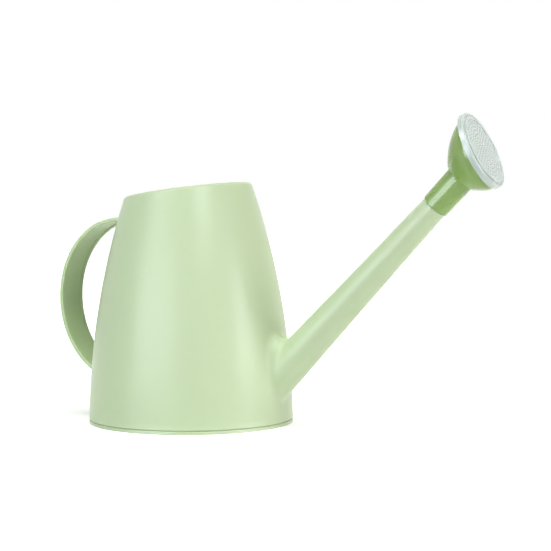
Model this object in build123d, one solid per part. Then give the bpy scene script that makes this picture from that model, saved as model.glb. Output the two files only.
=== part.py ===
from build123d import *
import math
import os

os.makedirs("parts", exist_ok=True)

# Sizes are in millimetres and degrees. The origin is the middle of the foot on the floor,
# Z points up and the spout points along +X.

# Wall of the can: one long arc turned about the can's own axis
WALL_FOOT_RADIUS = 90.0
WALL_ARC_RADIUS = 660.0
WALL_UPRIGHT_HEIGHT = -5.1
WALL_THICKNESS = 2.4

# Mouth: cut on a slant, higher on the spout side, with a lip that rolls inward
MOUTH_HEIGHT = 204.9
MOUTH_SLANT = 7.35
LIP_ROUND = 3.6
LIP_THICKNESS = 2.4
LIP_WIDTH = 7.0
LIP_EDGE_ROUND = 0.9

# Lower edge of the can: a low bead above the groove that hides the seam
SEAM_HEIGHT = 2.4
SEAM_GROOVE_HEIGHT = 0.8
SEAM_GROOVE_DEPTH = 1.2
DRIP_EDGE_CHAMFER = 0.4
DRIP_EDGE_HEIGHT = 5.0
DRIP_EDGE_PROUD = 0.3

# Base plate that closes the can from below
BASE_INSET = 0.6
BASE_CORNER_ROUND = 1.5
BASE_EDGE_ROUND = 0.3
BASE_PANEL_THICKNESS = 2.4
BASE_RECESS = 2.0
BASE_FOOT_WIDTH = 7.0
BASE_SPIGOT_HEIGHT = 9.0
BASE_SPIGOT_THICKNESS = 2.0
BASE_SPIGOT_GAP = 0.15
BASE_SPIGOT_LEAD = 0.8

# Spout: a long taper set into the front of the can
SPOUT_ROOT_HEIGHT = 45.2
SPOUT_ANGLE = 45.76
SPOUT_ROOT_RADIUS = 16.8
SPOUT_TAPER = 0.02955
SPOUT_LENGTH = 203.0
SPOUT_WALL = 2.1
SPOUT_FAIRING = 8.0
SPOUT_NECK_PROUD = 3.0
SPOUT_NECK_GAP = 0.15

# Saddle of the spout, let flush into a shallow oval seat on the wall
SADDLE_HALF_WIDTH = 29.0
SADDLE_HALF_HEIGHT = 38.0
SADDLE_RAISE = 7.0
SADDLE_DEPTH = 1.2
SADDLE_GAP = 0.1

# Nozzle at the spout's end that carries the rose
NOZZLE_LENGTH = 26.0
NOZZLE_STEP = 1.0
NOZZLE_NARROWING = 0.3
NOZZLE_LEAD = 0.6

# Handle: a strap bent along part of a leaning ellipse, whose middle hangs below the mouth's by the drop
HANDLE_WIDTH = 34.0
HANDLE_EDGE_THICKNESS = 3.4
HANDLE_CROWN = 0.6
HANDLE_EDGE_ROUND = 0.9
HANDLE_MARGIN = 4.5
HANDLE_CHANNEL_DEPTH = 0.8
HANDLE_HALF_DEPTH = 62.2
HANDLE_HALF_HEIGHT = 71.8
HANDLE_LEAN = 4.6
HANDLE_DROP = 98.4
HANDLE_INSET = 18.1
HANDLE_START = 72.0
HANDLE_SWEEP = 186.0

# Tongues at the handle's ends, through slots in the wall
TONGUE_WIDTH = 22.0
TONGUE_THICKNESS = 1.6
TONGUE_PROUD = 1.5
TONGUE_GAP = 0.15

# Rose: collar and bell in one moulding
ROSE_FIT_GAP = 0.3
COLLAR_RADIUS = 11.8
COLLAR_LENGTH = 31.2
COLLAR_DRAFT = 0.6
COLLAR_EDGE_ROUND = 0.4
BELL_ROOT_STEP = 1.2
BELL_ROOT_ROUND = 1.0
BELL_MOUTH_INSET = 3.1
BELL_FULLNESS = 1.68
BELL_SECTIONS = 5
BELL_WALL = 1.8

# Face of the rose, tilted down from the spout's line, with its reach counted from the collar's end
FACE_REACH = 31.1
FACE_OFFSET = 2.1
FACE_ANGLE = 24.7
FACE_RADIUS = 33.4
FACE_THICKNESS = 1.6
FACE_SKIRT_DEPTH = 5.0
FACE_SKIRT_WALL = 2.2
FACE_EDGE_ROUND = 2.0
FACE_RIM_WIDTH = 2.9
FACE_RING_WIDTH = 1.4
FACE_RING_HEIGHT = 0.9
FACE_RING_ROUND = 0.45
FACE_GROOVE_WIDTH = 0.9
FACE_GROOVE_DEPTH = 0.6

# Spray holes in rings about the middle of the face
HOLE_RADIUS = 0.7
HOLE_RING_STEP = 4.8
HOLE_RINGS = 5
HOLES_IN_FIRST_RING = 6


# Radius of the wall at a height, moved inward square to the wall by an inset
def wall_radius(height, inset=0.0):
    arc = WALL_ARC_RADIUS - inset
    return WALL_FOOT_RADIUS - WALL_ARC_RADIUS + math.sqrt(arc**2 - (height - WALL_UPRIGHT_HEIGHT)**2)


# Solid from the foot to above the mouth, bounded by the wall's arc moved inward by an inset
def wall_solid(inset):
    heights = (SEAM_HEIGHT, MOUTH_HEIGHT / 2, clear_height)
    points = [(0, wall_radius(height, inset), height) for height in heights]
    bottom = Line((0, 0, SEAM_HEIGHT), points[0])
    top = Line(points[2], (0, 0, clear_height))
    axis = Line((0, 0, clear_height), (0, 0, SEAM_HEIGHT))
    return revolve(make_face([bottom, ThreePointArc(*points), top, axis]), Axis.Z)


# Solid turned about Z from a closed outline of (radius, height) points
def turned(points):
    return revolve(make_face(Polyline([(r, 0, z) for r, z in points], close=True)), Axis.Z)


# Unit vector in the can's middle plane at an angle above the floor
def direction(angle):
    return Vector(math.cos(math.radians(angle)), 0, math.sin(math.radians(angle)))


# Closed edges of a piece between two heights, shortest first
def rings(piece, low, high):
    found = piece.edges().filter_by(lambda edge: edge.is_closed and low < edge.center().Z < high)
    return found.sort_by(lambda edge: edge.length)


# Planes that the pieces are laid out on
clear_height = MOUTH_HEIGHT + WALL_FOOT_RADIUS * math.tan(math.radians(MOUTH_SLANT)) + LIP_WIDTH
mouth_plane = Plane((0, 0, MOUTH_HEIGHT)).rotated((0, -MOUTH_SLANT, 0))
spout_root = Vector(wall_radius(SPOUT_ROOT_HEIGHT), 0, SPOUT_ROOT_HEIGHT)
spout_way = direction(SPOUT_ANGLE)
spout_plane = Plane(spout_root, x_dir=(0, 1, 0), z_dir=spout_way)
spout_place = spout_plane.location
collar_low = SPOUT_LENGTH + ROSE_FIT_GAP
collar_top = collar_low + COLLAR_LENGTH
collar_centre = spout_root + spout_way * collar_top
face_centre = collar_centre + spout_way * FACE_REACH + direction(SPOUT_ANGLE + 90) * FACE_OFFSET
face_plane = Plane(face_centre, x_dir=(0, 1, 0), z_dir=direction(FACE_ANGLE))

# Can body: the outside, cut on the slant and rounded over at the lip
full = wall_solid(0)
outside = split(full, bisect_by=mouth_plane, keep=Keep.BOTTOM)
outside = fillet(rings(outside, MOUTH_HEIGHT / 2, clear_height), LIP_ROUND)

# The inside stops under the lip, and the opening goes through it
under_lip = mouth_plane.offset(-LIP_THICKNESS)
inside = split(wall_solid(WALL_THICKNESS), bisect_by=under_lip, keep=Keep.BOTTOM)
inside = fillet(rings(inside, MOUTH_HEIGHT / 2, clear_height), LIP_ROUND - LIP_EDGE_ROUND)
opening = split(wall_solid(LIP_WIDTH), bisect_by=Plane.XY.offset(MOUTH_HEIGHT / 2), keep=Keep.TOP)
can_body = outside - inside - opening
can_body = fillet(rings(can_body, MOUTH_HEIGHT / 2, clear_height)[:2], LIP_EDGE_ROUND)

# A bead round the foot, cut back underneath to leave the seam groove
foot_radius = wall_radius(SEAM_HEIGHT)
drip_low = SEAM_HEIGHT + SEAM_GROOVE_HEIGHT
drip_top = drip_low + DRIP_EDGE_HEIGHT
can_body += turned([
    (wall_radius(drip_top, WALL_THICKNESS / 2), drip_top),
    (wall_radius(drip_top), drip_top),
    (foot_radius + DRIP_EDGE_PROUD, drip_low + DRIP_EDGE_CHAMFER),
    (foot_radius, drip_low),
    (wall_radius(drip_low, WALL_THICKNESS / 2), drip_low),
])
can_body -= turned([
    (foot_radius - SEAM_GROOVE_DEPTH, SEAM_HEIGHT),
    (foot_radius - SEAM_GROOVE_DEPTH, drip_low),
    (foot_radius + DRIP_EDGE_PROUD, drip_low),
    (foot_radius + DRIP_EDGE_PROUD, SEAM_HEIGHT),
])

# Spout: the taper meets the wall in a soft fairing
spout_end_radius = SPOUT_ROOT_RADIUS - SPOUT_TAPER * SPOUT_LENGTH
spout_back = 2 * SPOUT_ROOT_RADIUS
taper = spout_place * turned([
    (0, -spout_back),
    (SPOUT_ROOT_RADIUS + SPOUT_TAPER * spout_back, -spout_back),
    (spout_end_radius, SPOUT_LENGTH),
    (0, SPOUT_LENGTH),
])
faired = full + taper
faired = fillet(faired.edges().filter_by(GeomType.BSPLINE), SPOUT_FAIRING)

# The saddle keeps an oval of the wall's outer skin round the fairing
seat_plane = Plane((0, 0, SPOUT_ROOT_HEIGHT + SADDLE_RAISE), x_dir=(0, 1, 0), z_dir=(1, 0, 0))
saddle = extrude(seat_plane * Ellipse(SADDLE_HALF_WIDTH, SADDLE_HALF_HEIGHT), 2 * WALL_FOOT_RADIUS)
spout = faired - wall_solid(SADDLE_DEPTH) - (wall_solid(-SADDLE_DEPTH) - saddle)

# The neck passes through the wall and stands a little proud inside
neck_radius = SPOUT_ROOT_RADIUS - SPOUT_WALL / 2
neck_zone = wall_solid(SADDLE_DEPTH / 2) - wall_solid(WALL_THICKNESS + SPOUT_NECK_PROUD)
spout += spout_place * Cylinder(neck_radius, 2 * spout_back) & neck_zone

# The nozzle steps down to carry the rose, and the bore runs through it all
nozzle_root_radius = spout_end_radius - NOZZLE_STEP
nozzle_tip_radius = nozzle_root_radius - NOZZLE_NARROWING
nozzle_tip = SPOUT_LENGTH + NOZZLE_LENGTH
spout += spout_place * turned([
    (0, SPOUT_LENGTH - NOZZLE_STEP),
    (nozzle_root_radius, SPOUT_LENGTH - NOZZLE_STEP),
    (nozzle_root_radius, SPOUT_LENGTH),
    (nozzle_tip_radius, nozzle_tip - NOZZLE_LEAD),
    (nozzle_tip_radius - NOZZLE_LEAD, nozzle_tip),
    (0, nozzle_tip),
])
spout -= spout_place * turned([
    (0, -spout_back),
    (neck_radius - SPOUT_WALL, -spout_back),
    (neck_radius - SPOUT_WALL, 0),
    (nozzle_tip_radius - SPOUT_WALL, nozzle_tip),
    (0, nozzle_tip),
])

# Seat and hole for the spout in the can's wall
seat_oval = Ellipse(SADDLE_HALF_WIDTH + SADDLE_GAP, SADDLE_HALF_HEIGHT + SADDLE_GAP)
seat = extrude(seat_plane * seat_oval, 2 * WALL_FOOT_RADIUS) - wall_solid(SADDLE_DEPTH + SADDLE_GAP)
hole = spout_place * Cylinder(neck_radius + SPOUT_NECK_GAP, 2 * spout_back)
can_body = can_body - seat - hole

# Handle: a strap with a crowned outer face and a shallow channel along its inner face,
# swept along the ellipse and coped to the wall
handle_height = MOUTH_HEIGHT - HANDLE_DROP
handle_middle = (HANDLE_INSET - wall_radius(handle_height), 0, handle_height)
handle_plane = Plane(handle_middle, x_dir=direction(HANDLE_LEAN), z_dir=(0, -1, 0))
handle_line = handle_plane * EllipticalCenterArc(
    (0, 0), HANDLE_HALF_DEPTH, HANDLE_HALF_HEIGHT, HANDLE_START, arc_size=HANDLE_SWEEP
)
strap_plane = Plane(handle_line @ 0, x_dir=(0, 1, 0), z_dir=handle_line % 0)
side = HANDLE_WIDTH / 2
edge = HANDLE_EDGE_THICKNESS / 2
bank = side - HANDLE_MARGIN
toe = bank - HANDLE_CHANNEL_DEPTH
floor = edge - HANDLE_CHANNEL_DEPTH
inner_face = Polyline(
    (-side, -edge), (-side, edge), (-bank, edge), (-toe, floor),
    (toe, floor), (bank, edge), (side, edge), (side, -edge),
)
outer_face = ThreePointArc((side, -edge), (0, -edge - HANDLE_CROWN), (-side, -edge))
strap_section = make_face([inner_face, outer_face])
strap_section = fillet(strap_section.vertices(), HANDLE_EDGE_ROUND)
strap = sweep(strap_plane * strap_section, path=handle_line)

# Tongues carry on along the same line, through the wall
tongue = sweep(strap_plane * Rectangle(TONGUE_WIDTH, TONGUE_THICKNESS), path=handle_line)
handle = strap - full + (tongue - wall_solid(WALL_THICKNESS + TONGUE_PROUD))
slot_section = Rectangle(TONGUE_WIDTH + 2 * TONGUE_GAP, TONGUE_THICKNESS + 2 * TONGUE_GAP)
can_body -= sweep(strap_plane * slot_section, path=handle_line)

# Base plate: foot ring, raised panel and a spigot that stands up inside the wall
base_radius = foot_radius - BASE_INSET
foot_inner = base_radius - BASE_CORNER_ROUND - BASE_FOOT_WIDTH
panel_top = BASE_RECESS + BASE_PANEL_THICKNESS
spigot_top = SEAM_HEIGHT + BASE_SPIGOT_HEIGHT
spigot_radius = wall_radius(spigot_top, WALL_THICKNESS) - BASE_SPIGOT_GAP
base_plate = turned([
    (0, BASE_RECESS),
    (foot_inner - BASE_RECESS, BASE_RECESS),
    (foot_inner, 0),
    (base_radius, 0),
    (base_radius, SEAM_HEIGHT),
    (wall_radius(SEAM_HEIGHT, WALL_THICKNESS) - BASE_SPIGOT_GAP, SEAM_HEIGHT),
    (spigot_radius, spigot_top - BASE_SPIGOT_LEAD),
    (spigot_radius - BASE_SPIGOT_LEAD, spigot_top),
    (spigot_radius - BASE_SPIGOT_THICKNESS, spigot_top),
    (spigot_radius - BASE_SPIGOT_THICKNESS, panel_top),
    (0, panel_top),
])
base_plate = fillet(rings(base_plate, -BASE_RECESS, BASE_RECESS / 2)[-1], BASE_CORNER_ROUND)
seam_edges = rings(base_plate, SEAM_HEIGHT - BASE_EDGE_ROUND, SEAM_HEIGHT + BASE_EDGE_ROUND)
base_plate = fillet(seam_edges[-1], BASE_EDGE_ROUND)

# Rose body: a collar on the nozzle that opens into a bell, bent down toward the face
skirt_back = face_plane.offset(-FACE_SKIRT_DEPTH - ROSE_FIT_GAP)
bell_root_radius = COLLAR_RADIUS + COLLAR_DRAFT + BELL_ROOT_STEP
bell_mouth_radius = FACE_RADIUS - BELL_MOUTH_INSET


# Solid through circles that grow from the collar to the mouth and tilt with the bend
def bell_solid(inset):
    circles = []
    for step in range(BELL_SECTIONS):
        part = step / (BELL_SECTIONS - 1)
        way = direction(SPOUT_ANGLE + (FACE_ANGLE - SPOUT_ANGLE) * part)
        centre = collar_centre + (skirt_back.origin - collar_centre) * part + way * inset
        growth = 1 - (1 - part)**BELL_FULLNESS
        radius = bell_root_radius + (bell_mouth_radius - bell_root_radius) * growth - inset
        circles.append(Plane(centre, x_dir=(0, 1, 0), z_dir=way) * Circle(radius))
    return loft(circles)


collar = turned([
    (0, collar_low),
    (COLLAR_RADIUS, collar_low),
    (COLLAR_RADIUS + COLLAR_DRAFT, collar_top + BELL_WALL),
    (0, collar_top + BELL_WALL),
])
collar = fillet(rings(collar, 0, collar_low + COLLAR_EDGE_ROUND), COLLAR_EDGE_ROUND)
rose_body = bell_solid(0) + spout_place * collar
bell_root = rose_body.edges().filter_by(GeomType.CIRCLE).sort_by(lambda edge: edge.length)[-1]
rose_body = fillet(bell_root, BELL_ROOT_ROUND)

# A rim ahead of the bell fits inside the face's skirt
rim_radius = FACE_RADIUS - FACE_SKIRT_WALL - ROSE_FIT_GAP
rim_depth = FACE_SKIRT_DEPTH - FACE_THICKNESS
rim = skirt_back.location * Cylinder(rim_radius, 2 * rim_depth)
rose_body += split(rim, bisect_by=skirt_back.offset(-BELL_WALL / 2), keep=Keep.TOP)
rose_body -= skirt_back.location * Cylinder(rim_radius - BELL_WALL, 2 * (rim_depth + BELL_WALL))
rose_body -= bell_solid(BELL_WALL)
rose_body -= spout_place * turned([
    (0, collar_low),
    (nozzle_root_radius + ROSE_FIT_GAP, collar_low),
    (nozzle_tip_radius + ROSE_FIT_GAP, nozzle_tip),
    (nozzle_tip_radius + ROSE_FIT_GAP, collar_top + 2 * BELL_WALL),
    (0, collar_top + 2 * BELL_WALL),
])

# Rose plate: skirt, groove and raised ring round a flat field of holes
skirt_inner = FACE_RADIUS - FACE_SKIRT_WALL
groove_outer = FACE_RADIUS - FACE_RIM_WIDTH
ring_outer = groove_outer - FACE_GROOVE_WIDTH
ring_inner = ring_outer - FACE_RING_WIDTH
rose_plate = turned([
    (0, -FACE_THICKNESS),
    (skirt_inner, -FACE_THICKNESS),
    (skirt_inner, -FACE_SKIRT_DEPTH),
    (FACE_RADIUS, -FACE_SKIRT_DEPTH),
    (FACE_RADIUS, 0),
    (groove_outer, 0),
    (groove_outer, -FACE_GROOVE_DEPTH),
    (ring_outer, -FACE_GROOVE_DEPTH),
    (ring_outer, FACE_RING_HEIGHT),
    (ring_inner, FACE_RING_HEIGHT),
    (ring_inner, 0),
    (0, 0),
])
front_edges = rings(rose_plate, -FACE_GROOVE_DEPTH / 2, FACE_RING_HEIGHT / 2)
rose_plate = fillet(front_edges[-1], FACE_EDGE_ROUND)
ring_edges = rings(rose_plate, FACE_RING_HEIGHT / 2, 2 * FACE_RING_HEIGHT)
rose_plate = fillet(ring_edges, FACE_RING_ROUND)
holes = [Cylinder(HOLE_RADIUS, 3 * FACE_THICKNESS)]
for ring in range(1, HOLE_RINGS + 1):
    places = PolarLocations(ring * HOLE_RING_STEP, ring * HOLES_IN_FIRST_RING)
    holes += [place * holes[0] for place in places]
rose_plate = face_plane.location * (rose_plate - holes)

pieces = {
    "can_body": can_body,
    "base_plate": base_plate,
    "spout": spout,
    "handle": handle,
    "rose_body": rose_body,
    "rose_plate": rose_plate,
}
for name, piece in pieces.items():
    export_step(piece, f"parts/{name}.step")
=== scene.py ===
import math

import bmesh
import bpy
import numpy as np
from mathutils import Matrix, Vector


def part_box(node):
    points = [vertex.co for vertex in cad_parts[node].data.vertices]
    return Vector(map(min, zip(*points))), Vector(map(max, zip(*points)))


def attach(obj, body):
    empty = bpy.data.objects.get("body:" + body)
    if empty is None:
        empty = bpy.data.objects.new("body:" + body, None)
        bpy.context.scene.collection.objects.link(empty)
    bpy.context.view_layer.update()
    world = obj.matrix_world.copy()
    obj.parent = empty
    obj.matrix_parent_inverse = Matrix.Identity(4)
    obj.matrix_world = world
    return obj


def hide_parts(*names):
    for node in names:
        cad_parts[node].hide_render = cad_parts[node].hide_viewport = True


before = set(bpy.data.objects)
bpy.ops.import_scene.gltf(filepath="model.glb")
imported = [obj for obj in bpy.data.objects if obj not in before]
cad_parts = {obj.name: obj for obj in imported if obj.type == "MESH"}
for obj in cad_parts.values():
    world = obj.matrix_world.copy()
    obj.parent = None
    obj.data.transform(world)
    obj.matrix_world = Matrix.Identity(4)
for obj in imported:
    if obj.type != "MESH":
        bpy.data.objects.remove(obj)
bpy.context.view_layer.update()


# Can body: the tapered wall, moulded in pale green plastic and open at a slanted mouth.
# The lip rolls inward, a low drip edge runs round above the seam with the base plate,
# and a round hole low on the right takes the spout's neck.
mm = 0.001
wall_foot_radius = 90 * mm
wall_arc_radius = 660 * mm
wall_upright_height = -5.1 * mm
wall_thickness = 2.4 * mm
wall_columns = 240
wall_rows = 40
mouth_height = 204.9 * mm
mouth_slant = math.radians(7.35)
lip_round = 3.6 * mm
lip_thickness = 2.4 * mm
lip_width = 7 * mm
lip_edge_round = 0.9 * mm
lip_inner_round = lip_round - lip_edge_round
seam_height = 2.9 * mm
groove_height = 0.6 * mm
groove_depth = 1.1 * mm
drip_edge_height = 5 * mm
drip_edge_chamfer = 0.4 * mm
drip_edge_proud = 0.3 * mm
crisp_round = 0.2 * mm
soft_round = 12 * mm
sharp_angle = math.radians(40)
spout_root_height = 45.2 * mm
spout_angle = math.radians(45.76)
spout_columns = 128
neck_hole_radius = 15.9 * mm
neck_cut = 35 * mm


# Radius of the wall at a height, moved inward square to the wall by an inset
def wall_radius(height, inset=0):
    arc = wall_arc_radius - inset
    return wall_foot_radius - wall_arc_radius + np.sqrt(arc**2 - (height - wall_upright_height)**2)


# Outline through corners of (across, up, round), with an arc at each corner that has a round,
# and a point just before and after the arc that keeps the straight parts flat
def rounded(corners, arc_steps=8, guard=0.1 * mm):
    outline = []
    for place, (across, up, radius) in enumerate(corners):
        corner = np.array((across, up))
        if radius == 0:
            outline.append(corner)
            continue
        back = np.array(corners[place - 1][:2]) - corner
        ahead = np.array(corners[(place + 1) % len(corners)][:2]) - corner
        back /= np.linalg.norm(back)
        ahead /= np.linalg.norm(ahead)
        half = math.acos(back @ ahead) / 2
        reach = radius / math.tan(half)
        middle = corner + (back + ahead) / np.linalg.norm(back + ahead) * radius / math.sin(half)
        first = corner + back * reach - middle
        last = corner + ahead * reach - middle
        start = math.atan2(first[1], first[0])
        sweep = (math.atan2(last[1], last[0]) - start + math.pi) % math.tau - math.pi
        outline.append(corner + back * (reach + guard))
        for angle in start + sweep * np.linspace(0, 1, arc_steps + 1):
            outline.append(middle + radius * np.array((math.cos(angle), math.sin(angle))))
        outline.append(corner + ahead * (reach + guard))
    return np.array(outline)


# Points and faces of a tube through rings of points: a closed one joins its last ring to its first,
# and an open one has a face across each end
def skin(rings, closed):
    rings = np.array(rings)
    rows, columns = rings.shape[:2]
    faces = []
    for row in range(rows if closed else rows - 1):
        low = row * columns
        high = (row + 1) % rows * columns
        for column in range(columns):
            beside = (column + 1) % columns
            faces.append((low + column, low + beside, high + beside, high + column))
    if not closed:
        faces.append(tuple(range(columns)))
        faces.append(tuple(range((rows - 1) * columns, rows * columns)))
    return rings.reshape(-1, 3), faces


# Object made of one or more skins, smooth apart from its sharp corners, with its faces outward
def piece(name, *skins):
    points = []
    faces = []
    for skin_points, skin_faces in skins:
        first = len(points)
        points += [tuple(point) for point in skin_points]
        faces += [tuple(first + corner for corner in face) for face in skin_faces]
    mesh = bpy.data.meshes.new(name)
    mesh.from_pydata(points, [], faces)
    shell = bmesh.new()
    shell.from_mesh(mesh)
    bmesh.ops.recalc_face_normals(shell, faces=shell.faces)
    shell.to_mesh(mesh)
    shell.free()
    mesh.shade_smooth()
    mesh.set_sharp_from_angle(angle=sharp_angle)
    thing = bpy.data.objects.new(name, mesh)
    bpy.context.collection.objects.link(thing)
    return thing


# Makes a modifier's result the object's plain mesh, and takes the modifier away
def settle(thing, modifier):
    before = thing.data
    evaluated = thing.evaluated_get(bpy.context.evaluated_depsgraph_get())
    thing.data = bpy.data.meshes.new_from_object(evaluated)
    thing.data.name = thing.name
    thing.modifiers.remove(modifier)
    bpy.data.meshes.remove(before)


# Height at which the mouth's plane, lowered by a drop, meets the wall moved inward by an inset
def mouth_meets(angle, inset, drop, tries=20):
    height = mouth_height
    for _ in range(tries):
        slope = math.cos(angle) * math.tan(mouth_slant)
        height = mouth_height - drop / math.cos(mouth_slant) + wall_radius(height, inset) * slope
    return height


# Closed outline of the wall at an angle about the can's axis: up the outside, over the lip, down the inside
def wall_outline(angle):
    foot = wall_radius(seam_height)
    drip_low = seam_height + groove_height
    drip_top = drip_low + drip_edge_height
    lip = mouth_meets(angle, 0, 0)
    inner_lip = mouth_meets(angle, lip_width, 0)
    under_lip = mouth_meets(angle, lip_width, lip_thickness)
    inner_top = mouth_meets(angle, wall_thickness, lip_thickness)
    corners = [
        (foot - groove_depth, seam_height, crisp_round),
        (foot - groove_depth, drip_low, crisp_round),
        (foot, drip_low, crisp_round),
        (foot + drip_edge_proud, drip_low + drip_edge_chamfer, drip_edge_proud),
        (wall_radius(drip_top), drip_top, soft_round),
    ]
    for height in np.linspace(drip_top + drip_edge_height, lip - 2 * lip_round, wall_rows):
        corners.append((wall_radius(height), height, 0))
    corners += [
        (wall_radius(lip), lip, lip_round),
        (wall_radius(inner_lip, lip_width), inner_lip, lip_edge_round),
        (wall_radius(under_lip, lip_width), under_lip, lip_edge_round),
        (wall_radius(inner_top, wall_thickness), inner_top, lip_inner_round),
    ]
    for height in np.linspace(inner_top - 2 * lip_round, drip_top, wall_rows):
        corners.append((wall_radius(height, wall_thickness), height, 0))
    corners.append((wall_radius(seam_height, wall_thickness), seam_height, crisp_round))
    return rounded(corners)


# Plastic coloured right through: clouded pigment, an uneven satin shine and a fine moulded grain
def moulded_plastic(name, colour, cloud, shine, gloss, grain_depth, glow, shine_spread=0.05):
    plastic = bpy.data.materials.new(name)
    plastic.use_nodes = True
    nodes = plastic.node_tree.nodes
    link = plastic.node_tree.links.new
    shader = nodes["Principled BSDF"]
    shader.inputs["Specular IOR Level"].default_value = gloss
    shader.inputs["Subsurface Weight"].default_value = glow
    shader.inputs["Subsurface Radius"].default_value = (0.8, 1, 0.6)
    shader.inputs["Subsurface Scale"].default_value = 3 * mm
    place = nodes.new("ShaderNodeTexCoord")

    pigment = nodes.new("ShaderNodeTexNoise")
    pigment.inputs["Scale"].default_value = 14
    pigment.inputs["Detail"].default_value = 4
    tint = nodes.new("ShaderNodeMix")
    tint.data_type = "RGBA"
    tint.inputs["A"].default_value = (*colour, 1)
    tint.inputs["B"].default_value = (*cloud, 1)
    link(place.outputs["Object"], pigment.inputs["Vector"])
    link(pigment.outputs["Fac"], tint.inputs["Factor"])
    link(tint.outputs["Result"], shader.inputs["Base Color"])

    polish = nodes.new("ShaderNodeTexNoise")
    polish.inputs["Scale"].default_value = 45
    polish.inputs["Detail"].default_value = 6
    satin = nodes.new("ShaderNodeMapRange")
    satin.inputs["To Min"].default_value = shine - shine_spread
    satin.inputs["To Max"].default_value = shine + shine_spread
    link(place.outputs["Object"], polish.inputs["Vector"])
    link(polish.outputs["Fac"], satin.inputs["Value"])
    link(satin.outputs["Result"], shader.inputs["Roughness"])

    grain = nodes.new("ShaderNodeTexNoise")
    grain.inputs["Scale"].default_value = 1500
    grain.inputs["Detail"].default_value = 2
    relief = nodes.new("ShaderNodeBump")
    relief.inputs["Strength"].default_value = 0.25
    relief.inputs["Distance"].default_value = grain_depth
    link(place.outputs["Object"], grain.inputs["Vector"])
    link(grain.outputs["Fac"], relief.inputs["Height"])
    link(relief.outputs["Normal"], shader.inputs["Normal"])
    return plastic


pale_green = moulded_plastic(
    "pale_green_plastic", (0.57, 0.675, 0.44), (0.585, 0.69, 0.46),
    shine=0.32, gloss=0.15, grain_depth=0.03 * mm, glow=0.15
)

turn = np.linspace(0, math.tau, wall_columns, endpoint=False)
outlines = np.array([wall_outline(angle) for angle in turn])
wall_points = np.stack((
    outlines[..., 0] * np.cos(turn)[:, None],
    outlines[..., 0] * np.sin(turn)[:, None],
    outlines[..., 1],
), -1)
can_wall = piece("can_wall", skin(wall_points, closed=True))
can_wall.data.materials.append(pale_green)

# The hole that the spout's neck goes through is cut with a plain cylinder on the spout's line
spout_root = np.array((wall_radius(spout_root_height), 0, spout_root_height))
spout_way = np.array((math.cos(spout_angle), 0, math.sin(spout_angle)))
spout_up = np.array((-math.sin(spout_angle), 0, math.cos(spout_angle)))
spout_turn = np.linspace(0, math.tau, spout_columns, endpoint=False)[:, None]
spout_out = np.cos(spout_turn) * np.array((0, 1, 0)) + np.sin(spout_turn) * spout_up
cutter_rings = [
    spout_root + along * spout_way + neck_hole_radius * spout_out
    for along in (-neck_cut, neck_cut)
]
cutter = piece("neck_cutter", skin(cutter_rings, closed=False))
cut = can_wall.modifiers.new("neck_hole", "BOOLEAN")
cut.object = cutter
cut.solver = "EXACT"
settle(can_wall, cut)
bpy.data.objects.remove(cutter)
can_wall.data.set_sharp_from_angle(angle=sharp_angle)
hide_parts("can_body")
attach(can_wall, "can")


# Base plate: the separate foot, moulded in the same plastic. Its rounded ring stands on the floor,
# its panel is raised clear of it, and its spigot is pushed up inside the wall and welded there.
base_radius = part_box("base_plate")[1].x
spigot_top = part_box("base_plate")[1].z
base_corner_round = 0.5 * mm
base_edge_round = 0.3 * mm
base_proud = 1 * mm
base_lean = 0.5 * mm
base_recess = 2 * mm
base_panel_top = 4.4 * mm
foot_width = 7 * mm
spigot_thickness = 2 * mm
spigot_lead = 0.8 * mm
spigot_gap = 0.15 * mm
spigot_radius = wall_radius(spigot_top, wall_thickness) - spigot_gap
foot_inner = base_radius - base_corner_round - foot_width
panel_middle = 20 * mm


# Rings of an open outline turned about Z
def turned(outline, columns=wall_columns):
    angles = np.linspace(0, math.tau, columns, endpoint=False)
    return [[(r * math.cos(a), r * math.sin(a), z) for a in angles] for r, z in outline]


base_outline = rounded([
    (panel_middle, base_recess, 0),
    (foot_inner - base_recess, base_recess, crisp_round),
    (foot_inner, 0, crisp_round),
    (base_radius + base_proud, 0, base_corner_round),
    (base_radius + base_proud - base_lean, seam_height, base_edge_round),
    (wall_radius(seam_height, wall_thickness) - spigot_gap, seam_height, crisp_round),
    (spigot_radius, spigot_top - spigot_lead, crisp_round),
    (spigot_radius - spigot_lead, spigot_top, crisp_round),
    (spigot_radius - spigot_thickness, spigot_top, crisp_round),
    (spigot_radius - spigot_thickness, base_panel_top, crisp_round),
    (panel_middle, base_panel_top, 0),
])
base_foot = piece("base_foot", skin(turned(base_outline), closed=False))
base_foot.data.materials.append(pale_green)
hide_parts("base_plate")
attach(base_foot, "can")


# Spout: a long tapered tube in the same plastic, flared where it meets the wall so that the two look like
# one moulding. Its neck goes through the wall, and it steps down at the tip to a nozzle for the rose.
spout_root_radius = 16.8 * mm
spout_taper = 0.02955
spout_length = 203 * mm
spout_wall = 2.1 * mm
spout_fairing = 8 * mm
spout_side_flare = 4 * mm
fairing_rows = 16
tube_rows = 40
neck_gap = 0.15 * mm
neck_radius = neck_hole_radius - neck_gap
neck_proud = 3 * mm
skirt_depth = 0.4 * mm
root_search = 3 * spout_root_radius
ball_search = 5 * spout_root_radius
nozzle_length = 26 * mm
nozzle_step = 1 * mm
nozzle_narrowing = 0.3 * mm
nozzle_lead = 0.6 * mm


# How far points stand off the wall's outer skin, and the way square out of it
def off_wall(points):
    radius = np.hypot(points[..., 0], points[..., 1])
    across = radius - wall_foot_radius + wall_arc_radius
    rise = points[..., 2] - wall_upright_height
    reach = np.hypot(across, rise)
    way = np.stack((points[..., 0] / radius * across, points[..., 1] / radius * across, rise), -1)
    return reach - wall_arc_radius, way / reach[..., None]


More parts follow.
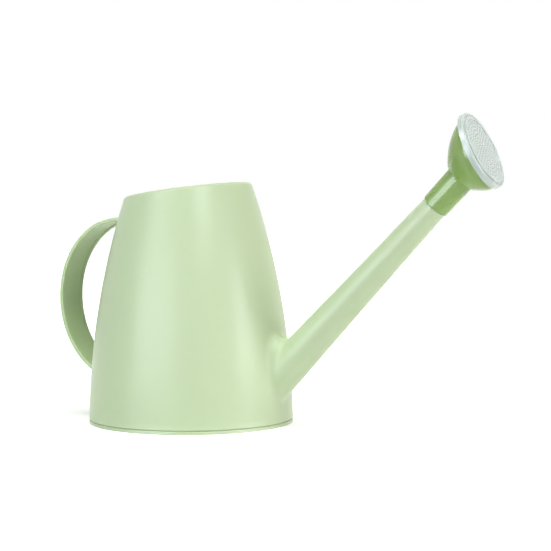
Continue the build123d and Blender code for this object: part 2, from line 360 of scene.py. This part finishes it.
# Value at which points that a function gives for it stand off the wall by a distance
def meets_wall(points_at, near, far, distance, halvings=50):
    near = np.array(near, float)
    far = np.array(far, float)
    for _ in range(halvings):
        middle = (near + far) / 2
        inside = off_wall(points_at(middle))[0] < distance
        near = np.where(inside, middle, near)
        far = np.where(inside, far, middle)
    return (near + far) / 2


# Ring of points round the spout's line, at a radius and at a place along it
def spout_ring(radius, along):
    along = np.broadcast_to(along, spout_turn.shape)
    return spout_root + along * spout_way + radius * spout_out


# Ring round the spout's line where a tube of a radius is a depth below the wall's outer skin
def wall_ring(radius, depth):
    deep = np.full(spout_columns, -root_search)
    high = np.full(spout_columns, root_search)
    along = meets_wall(lambda value: spout_ring(radius, value[:, None]), deep, high, -depth)
    return spout_ring(radius, along[:, None])


# Radius of the taper at a place along the spout's line
def taper_radius(along):
    return spout_root_radius - spout_taper * along


# The flare follows a ball that rolls round the root and touches both the taper and the wall,
# and that is larger at the spout's two upper sides
taper_out = (spout_out + spout_taper * spout_way) / math.hypot(1, spout_taper)
upper_side = np.where(np.sin(spout_turn) > 0, np.sin(2 * spout_turn)**2, 0)
ball_radius = spout_fairing + spout_side_flare * upper_side


# Middle of the ball all round, where it touches the taper at a place along it
def ball_centre(along):
    along = along[:, None]
    return spout_root + along * spout_way + taper_radius(along) * spout_out + ball_radius * taper_out


ball_near = np.full(spout_columns, -root_search)
ball_far = np.full(spout_columns, ball_search)
ball_along = meets_wall(ball_centre, ball_near, ball_far, ball_radius[:, 0])
ball = ball_centre(ball_along)
wall_out = off_wall(ball)[1]
bend = np.arccos(np.sum(wall_out * taper_out, -1, keepdims=True))
spout_rings = [ball - wall_out * (ball_radius + skirt_depth)]
for part in np.linspace(0, 1, fairing_rows + 1):
    mixed = (np.sin((1 - part) * bend) * wall_out + np.sin(part * bend) * taper_out) / np.sin(bend)
    spout_rings.append(ball - ball_radius * mixed)
for part in np.linspace(0, 1, tube_rows)[1:-1]:
    along = ball_along[:, None] + (spout_length - crisp_round - ball_along[:, None]) * part
    spout_rings.append(spout_ring(taper_radius(along), along))

spout_end_radius = taper_radius(spout_length)
nozzle_root_radius = spout_end_radius - nozzle_step
nozzle_tip_radius = nozzle_root_radius - nozzle_narrowing
nozzle_tip = spout_length + nozzle_length
bore_tip_radius = nozzle_tip_radius - spout_wall
bore_root_radius = neck_radius - spout_wall
nozzle_corners = [
    (taper_radius(spout_length - nozzle_lead), spout_length - nozzle_lead, 0),
    (spout_end_radius, spout_length, crisp_round),
    (nozzle_root_radius, spout_length, crisp_round),
    (nozzle_tip_radius, nozzle_tip - nozzle_lead, crisp_round),
    (nozzle_tip_radius - nozzle_lead, nozzle_tip, crisp_round),
    (bore_tip_radius, nozzle_tip, crisp_round),
    (bore_root_radius, 0, 0),
]
for radius, along in rounded(nozzle_corners):
    spout_rings.append(spout_ring(radius, along))
inner_depth = wall_thickness + neck_proud
spout_rings.append(wall_ring(bore_root_radius, inner_depth - crisp_round))
spout_rings.append(wall_ring(bore_root_radius + crisp_round, inner_depth))
spout_rings.append(wall_ring(neck_radius - crisp_round, inner_depth))
spout_rings.append(wall_ring(neck_radius, inner_depth - crisp_round))
spout_rings.append(wall_ring(neck_radius, wall_thickness / 2))
spout_tube = piece("spout_tube", skin(spout_rings, closed=True))
spout_tube.data.materials.append(pale_green)
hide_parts("spout")
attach(spout_tube, "can")


# Handle: a strap in the can's pale green, made a slightly deeper green as painted shade, crowned outside and
# channelled inside, bent along part of a leaning ellipse. Its ends are coped to the wall, and a tongue at
# each end goes through the wall.
handle_width = 34 * mm
handle_edge_thickness = 3.4 * mm
handle_crown = 0.6 * mm
handle_edge_round = 0.9 * mm
handle_margin = 4.5 * mm
handle_channel_depth = 0.8 * mm
handle_half_depth = 62.2 * mm
handle_half_height = 71.8 * mm
handle_lean = math.radians(4.6)
handle_height = 106.5 * mm
handle_inset = 18.1 * mm
handle_top_turn = math.radians(60)
handle_middle_turn = math.radians(165)
handle_foot_turn = math.radians(270)
handle_rows = 120
crown_steps = 12
coped_depth = wall_thickness / 3
tongue_width = 22 * mm
tongue_thickness = 1.6 * mm
tongue_proud = 1.5 * mm
tongue_rows = 8
handle_middle = np.array((handle_inset - wall_radius(handle_height), 0, handle_height))
handle_ahead = np.array((math.cos(handle_lean), 0, math.sin(handle_lean)))
handle_up = np.array((-math.sin(handle_lean), 0, math.cos(handle_lean)))


# Points of a strap section of (across, out) points, each at its own turn round the handle's ellipse
def strap_points(section, turns):
    turns = np.asarray(turns)[..., None]
    line = handle_half_depth * np.cos(turns) * handle_ahead + handle_half_height * np.sin(turns) * handle_up
    out = handle_half_height * np.cos(turns) * handle_ahead + handle_half_depth * np.sin(turns) * handle_up
    out = out / np.linalg.norm(out, axis=-1, keepdims=True)
    return handle_middle + line + section[:, :1] * np.array((0, 1, 0)) + section[:, 1:] * out


# Turn at which each point of a section is a depth below the wall's skin, toward one end of the handle
def strap_meets(section, end_turn, depth):
    ends = np.full(len(section), end_turn)
    middles = np.full(len(section), handle_middle_turn)
    return meets_wall(lambda turns: strap_points(section, turns), ends, middles, -depth)


side = handle_width / 2
edge = handle_edge_thickness / 2
bank = side - handle_margin
toe = bank - handle_channel_depth
strap_corners = []
for part in np.linspace(-1, 1, crown_steps + 1):
    crown_round = handle_edge_round if abs(part) == 1 else 0
    strap_corners.append((part * side, edge + handle_crown * (1 - part**2), crown_round))
for across, out in ((side, edge), (bank, edge), (toe, edge - handle_channel_depth)):
    strap_corners.append((across, -out, handle_edge_round))
for across, out in ((-toe, edge - handle_channel_depth), (-bank, edge), (-side, edge)):
    strap_corners.append((across, -out, handle_edge_round))
strap_section = rounded(strap_corners)
strap_starts = strap_meets(strap_section, handle_top_turn, coped_depth)
strap_ends = strap_meets(strap_section, handle_foot_turn, coped_depth)
strap_rings = [
    strap_points(strap_section, strap_starts + (strap_ends - strap_starts) * part)
    for part in np.linspace(0, 1, handle_rows)
]
tongue_section = rounded([
    (across * tongue_width / 2, out * tongue_thickness / 2, crisp_round)
    for across, out in ((-1, -1), (1, -1), (1, 1), (-1, 1))
])
handle_skins = [skin(strap_rings, closed=False)]
for end_turn in (handle_top_turn, handle_foot_turn):
    shallow = strap_meets(tongue_section, end_turn, coped_depth)
    deep = strap_meets(tongue_section, end_turn, wall_thickness + tongue_proud)
    tongue_rings = [
        strap_points(tongue_section, shallow + (deep - shallow) * part)
        for part in np.linspace(0, 1, tongue_rows)
    ]
    handle_skins.append(skin(tongue_rings, closed=False))
handle_strap = piece("handle_strap", *handle_skins)
# The handle's plastic is the can's pale green made deeper and more saturated: painted shade for the light
# bounced between strap and wall
handle_shaded_green = moulded_plastic(
    "handle_shaded_green_plastic", (0.55, 0.675, 0.39), (0.565, 0.69, 0.41),
    shine=0.32, gloss=0.15, grain_depth=0.03 * mm, glow=0.15
)
handle_strap.data.materials.append(handle_shaded_green)
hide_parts("handle")
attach(handle_strap, "can")


# Rose body: a collar that pushes onto the nozzle and opens into a bell, in glossy leaf green plastic.
# The bell bends down from the spout's line, and a rim at its mouth carries the white face.
fit_gap = 0.3 * mm
collar_radius = 11.8 * mm
collar_length = 31.2 * mm
collar_draft = 0.6 * mm
collar_edge_round = 0.4 * mm
bell_root_step = 1.2 * mm
bell_root_round = 1 * mm
bell_mouth_inset = 3.1 * mm
bell_fullness = 1.68
bell_wall = 1.8 * mm
bell_rows = 40
rose_columns = 160
face_reach = 31.1 * mm
face_offset = 2.1 * mm
face_angle = math.radians(24.7)
face_radius = 33.4 * mm
face_thickness = 1.6 * mm
face_skirt_depth = 5 * mm
face_skirt_wall = 2.2 * mm
bell_root_radius = collar_radius + collar_draft + bell_root_step
bell_mouth_radius = face_radius - bell_mouth_inset
collar_low = spout_length + fit_gap
collar_top = collar_low + collar_length
collar_centre = spout_root + spout_way * collar_top
face_centre = collar_centre + spout_way * face_reach + spout_up * face_offset
face_way = np.array((math.cos(face_angle), 0, math.sin(face_angle)))
rim_back = face_centre - face_way * (face_skirt_depth + fit_gap)
rim_radius = face_radius - face_skirt_wall - fit_gap
rim_depth = face_skirt_depth - face_thickness


# Ring about a line in the can's middle plane
def ring(centre, way, radius):
    up = np.array((-way[2], 0, way[0]))
    angles = np.linspace(0, math.tau, rose_columns, endpoint=False)[:, None]
    return centre + radius * (np.cos(angles) * np.array((0, 1, 0)) + np.sin(angles) * up)


# Ring of the bell part of the way from the collar to the mouth, moved inward by an inset
def bell_ring(part, inset):
    angle = spout_angle + (face_angle - spout_angle) * part
    way = np.array((math.cos(angle), 0, math.sin(angle)))
    centre = collar_centre + (rim_back - collar_centre) * part + way * inset
    growth = 1 - (1 - part)**bell_fullness
    return ring(centre, way, bell_root_radius + (bell_mouth_radius - bell_root_radius) * growth - inset)


leaf_green = moulded_plastic(
    "leaf_green_plastic", (0.25, 0.385, 0.1), (0.27, 0.41, 0.115),
    shine=0.2, gloss=0.45, grain_depth=0.01 * mm, glow=0.1
)

collar_bore = nozzle_root_radius + fit_gap
collar_inner = nozzle_tip_radius + fit_gap
collar_outline = rounded([
    (collar_bore, collar_low, crisp_round),
    (collar_radius, collar_low, collar_edge_round),
    (collar_radius + collar_draft, collar_top, crisp_round),
    (bell_root_radius, collar_top, bell_root_round),
    (bell_root_radius, collar_top + 2 * bell_wall, 0),
])[:-1]
rose_rings = [
    ring(spout_root + along * spout_way, spout_way, radius)
    for radius, along in collar_outline
]
bell_start = bell_root_round / collar_length
for part in np.linspace(2 * bell_start, 1, bell_rows):
    rose_rings.append(bell_ring(part, 0))
rim_outline = rounded([
    (bell_mouth_radius - bell_wall, -bell_wall, 0),
    (bell_mouth_radius, 0, crisp_round),
    (rim_radius, 0, crisp_round),
    (rim_radius, rim_depth, crisp_round),
    (rim_radius - bell_wall, rim_depth, crisp_round),
    (rim_radius - bell_wall, -bell_wall, 0),
])[1:-1]
rose_rings += [
    ring(rim_back + along * face_way, face_way, radius)
    for radius, along in rim_outline
]
for part in np.linspace(1, 2 * bell_start, bell_rows)[1:]:
    rose_rings.append(bell_ring(part, bell_wall))
bell_floor = spout_root + (collar_top + 2 * bell_wall) * spout_way
rose_rings.append(ring(bell_floor, spout_way, collar_inner + crisp_round))
rose_rings.append(ring(spout_root + nozzle_tip * spout_way, spout_way, collar_inner))
rose_bell = piece("rose_bell", skin(rose_rings, closed=True))
rose_bell.data.materials.append(leaf_green)
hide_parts("rose_body")
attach(rose_bell, "rose")


# Rose plate: the white face that clips over the bell's rim with its skirt. A groove and a raised ring
# run round a flat field of fine holes, laid out in rings about the middle.
face_edge_round = 1.6 * mm
face_rim_width = 1.9 * mm
face_ring_width = 3 * mm
face_ring_height = 0.9 * mm
face_ring_round = 0.8 * mm
face_groove_width = 1.7 * mm
face_groove_depth = 0.6 * mm
hole_radius = 0.65 * mm
hole_ring_step = 3.4 * mm
spray_rings = 7
first_ring_holes = 6
hole_start_turn = math.radians(30)
hole_sides = 16
hole_depth = 4 * face_thickness
groove_outer = face_radius - face_rim_width
ring_outer = groove_outer - face_groove_width
ring_inner = ring_outer - face_ring_width
skirt_inner = face_radius - face_skirt_wall
face_outline = rounded([
    (ring_inner - face_ring_width, -face_thickness, 0),
    (skirt_inner, -face_thickness, crisp_round),
    (skirt_inner, -face_skirt_depth, crisp_round),
    (face_radius, -face_skirt_depth, crisp_round),
    (face_radius, 0, face_edge_round),
    (groove_outer, 0, crisp_round),
    (groove_outer, -face_groove_depth, crisp_round),
    (ring_outer, -face_groove_depth, crisp_round),
    (ring_outer, face_ring_height, face_ring_round),
    (ring_inner, face_ring_height, face_ring_round),
    (ring_inner, 0, crisp_round),
    (ring_inner - face_ring_width, 0, 0),
])
white = moulded_plastic(
    "white_plastic", (0.545, 0.61, 0.58), (0.57, 0.635, 0.605),
    shine=0.26, gloss=0.45, grain_depth=0.01 * mm, glow=0.2
)
rose_face = piece("rose_face", skin(turned(face_outline, rose_columns), closed=False))

spray = bpy.data.node_groups.new("spray_holes", "GeometryNodeTree")
for name, kind, direction in (
    ("Blank", "NodeSocketGeometry", "INPUT"),
    ("Hole radius", "NodeSocketFloat", "INPUT"),
    ("Hole depth", "NodeSocketFloat", "INPUT"),
    ("Ring step", "NodeSocketFloat", "INPUT"),
    ("Rings", "NodeSocketInt", "INPUT"),
    ("Holes in first ring", "NodeSocketInt", "INPUT"),
    ("Start turn", "NodeSocketFloat", "INPUT"),
    ("Plastic", "NodeSocketMaterial", "INPUT"),
    ("Face", "NodeSocketGeometry", "OUTPUT"),
):
    spray.interface.new_socket(name, in_out=direction, socket_type=kind)
spray_in = spray.nodes.new("NodeGroupInput")
spray_out = spray.nodes.new("NodeGroupOutput")


# Result of an operation on sockets or numbers, as a Math node in the tree
def reckon(operation, *terms):
    node = spray.nodes.new("ShaderNodeMath")
    node.operation = operation
    for socket, term in zip(node.inputs, terms):
        if isinstance(term, (int, float)):
            socket.default_value = term
        else:
            spray.links.new(term, socket)
    return node.outputs["Value"]


# A hole's number gives its ring, its place in the ring and so its angle
first_ring = spray_in.outputs["Holes in first ring"]
rings_wanted = spray_in.outputs["Rings"]
hole_number = spray.nodes.new("GeometryNodeInputIndex").outputs["Index"]
filled = reckon("DIVIDE", reckon("MULTIPLY", reckon("SUBTRACT", hole_number, 0.5), 8), first_ring)
filled_root = reckon("SQRT", reckon("ADD", filled, 1))
ring_number = reckon("CEIL", reckon("DIVIDE", reckon("SUBTRACT", filled_root, 1), 2))
ring_holes = reckon("MULTIPLY", ring_number, first_ring)
holes_inside = reckon("DIVIDE", reckon("MULTIPLY", ring_holes, reckon("SUBTRACT", ring_number, 1)), 2)
ring_place = reckon("SUBTRACT", reckon("SUBTRACT", hole_number, 1), holes_inside)
ring_turn = reckon("MULTIPLY", reckon("DIVIDE", ring_place, ring_holes), math.tau)
hole_angle = reckon("ADD", ring_turn, spray_in.outputs["Start turn"])
ring_radius = reckon("MULTIPLY", ring_number, spray_in.outputs["Ring step"])
hole_place = spray.nodes.new("ShaderNodeCombineXYZ")
spray.links.new(reckon("MULTIPLY", ring_radius, reckon("COSINE", hole_angle)), hole_place.inputs["X"])
spray.links.new(reckon("MULTIPLY", ring_radius, reckon("SINE", hole_angle)), hole_place.inputs["Y"])
last_ring_holes = reckon("MULTIPLY", rings_wanted, first_ring)
outer_holes = reckon("DIVIDE", reckon("MULTIPLY", last_ring_holes, reckon("ADD", rings_wanted, 1)), 2)
all_holes = reckon("ADD", outer_holes, 1)

hole_points = spray.nodes.new("GeometryNodePoints")
spray.links.new(all_holes, hole_points.inputs["Count"])
spray.links.new(hole_place.outputs["Vector"], hole_points.inputs["Position"])
punch = spray.nodes.new("GeometryNodeMeshCylinder")
punch.inputs["Vertices"].default_value = hole_sides
spray.links.new(spray_in.outputs["Hole radius"], punch.inputs["Radius"])
spray.links.new(spray_in.outputs["Hole depth"], punch.inputs["Depth"])
punches = spray.nodes.new("GeometryNodeInstanceOnPoints")
spray.links.new(hole_points.outputs["Points"], punches.inputs["Points"])
spray.links.new(punch.outputs["Mesh"], punches.inputs["Instance"])
pierced = spray.nodes.new("GeometryNodeMeshBoolean")
pierced.operation = "DIFFERENCE"
pierced.solver = "EXACT"
spray.links.new(spray_in.outputs["Blank"], pierced.inputs["Mesh 1"])
spray.links.new(punches.outputs["Instances"], pierced.inputs["Mesh 2"])
realized = spray.nodes.new("GeometryNodeRealizeInstances")
spray.links.new(pierced.outputs["Mesh"], realized.inputs["Geometry"])
finished = spray.nodes.new("GeometryNodeSetMaterial")
spray.links.new(realized.outputs["Geometry"], finished.inputs["Geometry"])
spray.links.new(spray_in.outputs["Plastic"], finished.inputs["Material"])
spray.links.new(finished.outputs["Geometry"], spray_out.inputs["Face"])

punching = rose_face.modifiers.new("spray_holes", "NODES")
punching.node_group = spray
spray_sizes = {
    "Hole radius": hole_radius,
    "Hole depth": hole_depth,
    "Ring step": hole_ring_step,
    "Rings": spray_rings,
    "Holes in first ring": first_ring_holes,
    "Start turn": hole_start_turn,
    "Plastic": white,
}
for socket in spray.interface.items_tree:
    if socket.name in spray_sizes:
        punching[socket.identifier] = spray_sizes[socket.name]
settle(rose_face, punching)
face_up = (-face_way[2], 0, face_way[0])
face_place = Matrix((
    (0, face_up[0], face_way[0], face_centre[0]),
    (1, face_up[1], face_way[1], face_centre[1]),
    (0, face_up[2], face_way[2], face_centre[2]),
    (0, 0, 0, 1),
))
rose_face.data.transform(face_place)
rose_face.data.set_sharp_from_angle(angle=sharp_angle)
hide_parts("rose_plate")
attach(rose_face, "rose_face")


# Studio floor and background: a wide pale floor that keeps the can's soft shadow, and whitens away from it
# until it meets the white background without an edge
floor_half = 6
floor_colour = (0.9, 0.9, 0.9, 1)
floor_glow_near = 0.45
floor_glow_far = 1
floor_near = 0.15
floor_far = 0.7
floor_mesh = bpy.data.meshes.new("studio_floor")
floor_corners = [(-1, -1), (1, -1), (1, 1), (-1, 1)]
floor_points = [(floor_half * x, floor_half * y, 0) for x, y in floor_corners]
floor_mesh.from_pydata(floor_points, [], [(0, 1, 2, 3)])
studio_floor = bpy.data.objects.new("studio_floor", floor_mesh)
bpy.context.collection.objects.link(studio_floor)


# Socket that is 1 where the camera, or a shiny or clear surface, looks at the background
def seen_directly(tree):
    rays = tree.nodes.new("ShaderNodeLightPath")
    total = rays.outputs["Is Camera Ray"]
    for kind in ("Is Glossy Ray", "Is Transmission Ray"):
        either = tree.nodes.new("ShaderNodeMath")
        either.operation = "MAXIMUM"
        tree.links.new(total, either.inputs[0])
        tree.links.new(rays.outputs[kind], either.inputs[1])
        total = either.outputs["Value"]
    return total


floor_paint = bpy.data.materials.new("studio_floor_white")
floor_paint.use_nodes = True
floor_tree = floor_paint.node_tree
floor_tree.nodes.clear()
floor_place = floor_tree.nodes.new("ShaderNodeTexCoord")
floor_reach = floor_tree.nodes.new("ShaderNodeVectorMath")
floor_reach.operation = "LENGTH"
floor_fade = floor_tree.nodes.new("ShaderNodeMapRange")
floor_fade.interpolation_type = "SMOOTHSTEP"
floor_fade.inputs["From Min"].default_value = floor_near
floor_fade.inputs["From Max"].default_value = floor_far
floor_fade.inputs["To Min"].default_value = floor_glow_near
floor_fade.inputs["To Max"].default_value = floor_glow_far
floor_matt = floor_tree.nodes.new("ShaderNodeBsdfDiffuse")
floor_matt.inputs["Color"].default_value = floor_colour
floor_light = floor_tree.nodes.new("ShaderNodeEmission")
floor_share = floor_tree.nodes.new("ShaderNodeMath")
floor_share.operation = "MULTIPLY"
floor_sum = floor_tree.nodes.new("ShaderNodeAddShader")
floor_out = floor_tree.nodes.new("ShaderNodeOutputMaterial")
floor_tree.links.new(floor_place.outputs["Object"], floor_reach.inputs[0])
floor_tree.links.new(floor_reach.outputs["Value"], floor_fade.inputs["Value"])
floor_tree.links.new(seen_directly(floor_tree), floor_share.inputs[0])
floor_tree.links.new(floor_fade.outputs["Result"], floor_share.inputs[1])
floor_tree.links.new(floor_share.outputs["Value"], floor_light.inputs["Strength"])
floor_tree.links.new(floor_matt.outputs["BSDF"], floor_sum.inputs[0])
floor_tree.links.new(floor_light.outputs["Emission"], floor_sum.inputs[1])
floor_tree.links.new(floor_sum.outputs["Shader"], floor_out.inputs["Surface"])
floor_mesh.materials.append(floor_paint)

room_light = 0.02
room = bpy.data.worlds.new("white_room")
room.use_nodes = True
bpy.context.scene.world = room
room_tree = room.node_tree
room_glow = room_tree.nodes["Background"]
room_glow.inputs["Color"].default_value = (1, 1, 1, 1)
room_level = room_tree.nodes.new("ShaderNodeMapRange")
room_level.inputs["To Min"].default_value = room_light
room_level.inputs["To Max"].default_value = 1
room_tree.links.new(seen_directly(room_tree), room_level.inputs["Value"])
room_tree.links.new(room_level.outputs["Result"], room_glow.inputs["Strength"])


# Lamps: a broad cool one low on the left, two soft ones on the right and a large one overhead light the can.
# Four cards beside them only show as the plastic's highlights.
lamp_target = Vector((0.05, 0, 0.11))


# Lamp toward a bearing and height in degrees, at a distance in metres, that faces the can.
# One that only lights casts no highlight, and one that only shines casts no light.
def soft_lamp(name, bearing, height, distance, width, tall, power, colour, lights=True, shines=True):
    shape = bpy.data.lights.new(name, "AREA")
    shape.shape = "RECTANGLE"
    shape.size = width
    shape.size_y = tall
    shape.energy = power
    shape.color = colour
    lamp = bpy.data.objects.new(name, shape)
    level = math.radians(height)
    away = Vector((
        math.cos(math.radians(bearing)) * math.cos(level),
        math.sin(math.radians(bearing)) * math.cos(level),
        math.sin(level),
    ))
    lamp.location = lamp_target + distance * away
    lamp.rotation_euler = away.to_track_quat("Z", "Y").to_euler()
    lamp.visible_camera = False
    lamp.visible_diffuse = lights
    lamp.visible_glossy = shines
    bpy.context.collection.objects.link(lamp)


soft_lamp("left_lamp", -110, 8, 3, 1.7, 1.5, 34.5, (0.84, 0.92, 1), shines=False)
soft_lamp("right_front_lamp", -25, 15, 4.5, 1.9, 2.4, 39.5, (1, 0.97, 1), shines=False)
soft_lamp("right_lamp", 12, 6, 4.5, 2.2, 1.8, 78, (1, 0.96, 0.99), shines=False)
soft_lamp("overhead_lamp", -60, 80, 4, 3.3, 3.3, 157, (0.96, 1, 0.92), shines=False)
soft_lamp("left_card", -107, 10.5, 0.9, 0.8, 0.54, 12.6, (0.8, 0.86, 1), lights=False)
soft_lamp("right_card", 4, 10, 4.5, 1.8, 2.2, 213, (0.8, 0.85, 1), lights=False)
soft_lamp("upper_card", -40, 45, 4, 1.5, 2.1, 210, (0.82, 0.9, 1), lights=False)
soft_lamp("upper_left_card", -125, 45, 3, 1.5, 1.3, 110, (0.8, 0.86, 1), lights=False)


# Camera: a long lens a little above the can's middle, turned from square to the spout's plane
camera_place = Vector((0.7349, -1.3398, 0.20807))
camera_ahead = Vector((-0.4368, 0.8981, -0.0519))
camera_roll = math.radians(-0.17)
camera_lens = 112.96
sensor_width = 36
eye = bpy.data.cameras.new("camera")
eye.sensor_width = sensor_width
eye.lens = camera_lens
camera = bpy.data.objects.new("camera", eye)
camera.location = camera_place
camera_level = camera_ahead.to_track_quat("-Z", "Y").to_matrix()
camera_turn = camera_level @ Matrix.Rotation(camera_roll, 3, "Z")
camera.rotation_euler = camera_turn.to_euler()
bpy.context.collection.objects.link(camera)
bpy.context.scene.camera = camera
bpy.context.scene.view_settings.view_transform = "Standard"
